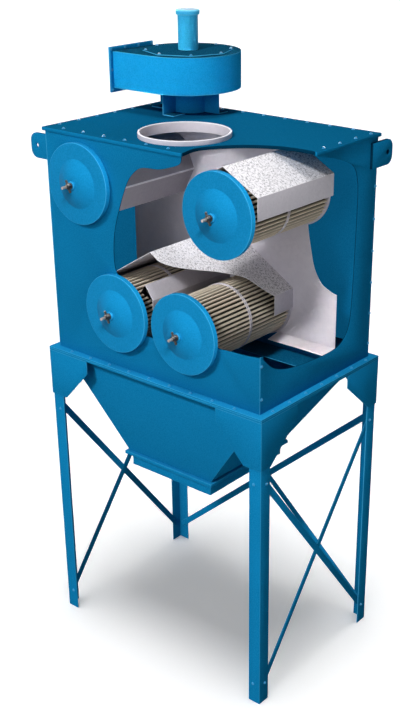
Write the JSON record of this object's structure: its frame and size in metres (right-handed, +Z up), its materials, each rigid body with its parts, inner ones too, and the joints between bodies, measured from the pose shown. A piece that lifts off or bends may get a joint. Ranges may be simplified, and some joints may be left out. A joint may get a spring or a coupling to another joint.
{
  "type": "dust collector",
  "caption": "Cartridge dust collector on a braced steel stand, its front right corner cut open, with a roof fan, round filter covers and a hopper below.",
  "frame": {"origin": "on the floor, under the middle of the whole object's bounding box", "axes": "+Z up; the front with the round covers looks along -Y; the fan's outlet looks along -X"},
  "size_m": [1.6796, 1.3006, 3.6932],
  "materials": {
    "blue_paint": "semi-gloss powder coat",
    "galvanised_sheet": "hot-dip galvanised, fine spangle",
    "bright_steel": "machined",
    "filter_medium": "matte pleated felt",
    "black_rubber": "matte",
    "dark_casting": "painted casting"
  },
  "bodies": {
    "root": {"back_panel": "blue_paint", "brace_left": "blue_paint", "brace_rear": "blue_paint", "brace_right": "blue_paint", "cabinet_base": "blue_paint", "fan_cover_plate": "blue_paint", "fan_housing": "blue_paint", "fan_outlet_flange": "blue_paint", "fan_stand": "blue_paint", "front_panel": "blue_paint", "hopper": "blue_paint", "hopper_flange": "blue_paint", "hopper_spout": "blue_paint", "left_panel": "blue_paint", "motor_housing": "blue_paint", "plenum_floor": "blue_paint", "right_panel": "blue_paint", "stand_ring": "blue_paint", "top_panel": "blue_paint", "gusset_front_left": "blue_paint", "gusset_front_right": "blue_paint", "gusset_rear_left": "blue_paint", "gusset_rear_right": "blue_paint", "leg_front_left": "blue_paint", "leg_front_right": "blue_paint", "leg_rear_left": "blue_paint", "leg_rear_right": "blue_paint", "tube_sheet": "galvanised_sheet", "upper_left_hood": "galvanised_sheet", "upper_right_hood": "galvanised_sheet", "lower_hood": "galvanised_sheet", "inner_baffle": "galvanised_sheet", "inlet_collar": "galvanised_sheet", "yoke_rod_upper_left": "bright_steel", "yoke_rod_upper_right": "bright_steel", "yoke_rod_lower_left": "bright_steel", "yoke_rod_lower_right": "bright_steel"},
    "cartridge_upper_left": {"filter_cage_upper_left": "galvanised_sheet", "filter_medium_upper_left": "filter_medium"},
    "door_upper_left": {"cover_upper_left": "blue_paint", "cover_gasket_upper_left": "black_rubber"},
    "knob_upper_left": {"cover_knob_upper_left": "dark_casting"},
    "cartridge_upper_right": {"filter_cage_upper_right": "galvanised_sheet", "filter_medium_upper_right": "filter_medium"},
    "door_upper_right": {"cover_upper_right": "blue_paint", "cover_gasket_upper_right": "black_rubber"},
    "knob_upper_right": {"cover_knob_upper_right": "dark_casting"},
    "cartridge_lower_left": {"filter_cage_lower_left": "galvanised_sheet", "filter_medium_lower_left": "filter_medium"},
    "door_lower_left": {"cover_lower_left": "blue_paint", "cover_gasket_lower_left": "black_rubber"},
    "knob_lower_left": {"cover_knob_lower_left": "dark_casting"},
    "cartridge_lower_right": {"filter_cage_lower_right": "galvanised_sheet", "filter_medium_lower_right": "filter_medium"},
    "door_lower_right": {"cover_lower_right": "blue_paint", "cover_gasket_lower_right": "black_rubber"},
    "knob_lower_right": {"cover_knob_lower_right": "dark_casting"},
    "fan_rotor": {"fan_wheel": "bright_steel", "motor_shaft": "bright_steel"}
  },
  "joints": [
    {"name": "cartridge_out_upper_left", "type": "slide", "parent": "root", "child": "cartridge_upper_left", "axis": [0, -1, 0], "range_m": [0, 0.9]},
    {"name": "cover_off_upper_left", "type": "slide", "parent": "cartridge_upper_left", "child": "door_upper_left", "axis": [0, -1, 0], "range_m": [0, 0.25]},
    {"name": "knob_turn_upper_left", "type": "hinge", "parent": "door_upper_left", "child": "knob_upper_left", "pos_m": [-0.4562, -0.5977, 2.8536], "axis": [0, 1, 0], "continuous": true},
    {"name": "cartridge_out_upper_right", "type": "slide", "parent": "root", "child": "cartridge_upper_right", "axis": [0, -1, 0], "range_m": [0, 0.9]},
    {"name": "cover_off_upper_right", "type": "slide", "parent": "cartridge_upper_right", "child": "door_upper_right", "axis": [0, -1, 0], "range_m": [0, 0.25]},
    {"name": "knob_turn_upper_right", "type": "hinge", "parent": "door_upper_right", "child": "knob_upper_right", "pos_m": [0.5358, -0.5977, 2.8536], "axis": [0, 1, 0], "continuous": true},
    {"name": "cartridge_out_lower_left", "type": "slide", "parent": "root", "child": "cartridge_lower_left", "axis": [0, -1, 0], "range_m": [0, 0.9]},
    {"name": "cover_off_lower_left", "type": "slide", "parent": "cartridge_lower_left", "child": "door_lower_left", "axis": [0, -1, 0], "range_m": [0, 0.25]},
    {"name": "knob_turn_lower_left", "type": "hinge", "parent": "door_lower_left", "child": "knob_lower_left", "pos_m": [-0.2098, -0.5977, 2.16], "axis": [0, 1, 0], "continuous": true},
    {"name": "cartridge_out_lower_right", "type": "slide", "parent": "root", "child": "cartridge_lower_right", "axis": [0, -1, 0], "range_m": [0, 0.9]},
    {"name": "cover_off_lower_right", "type": "slide", "parent": "cartridge_lower_right", "child": "door_lower_right", "axis": [0, -1, 0], "range_m": [0, 0.25]},
    {"name": "knob_turn_lower_right", "type": "hinge", "parent": "door_lower_right", "child": "knob_lower_right", "pos_m": [0.2894, -0.5977, 2.16], "axis": [0, 1, 0], "continuous": true},
    {"name": "fan_spin", "type": "hinge", "parent": "root", "child": "fan_rotor", "pos_m": [-0.4192, 0.3463, 3.36], "axis": [0, 0, 1], "continuous": true}
  ]
}
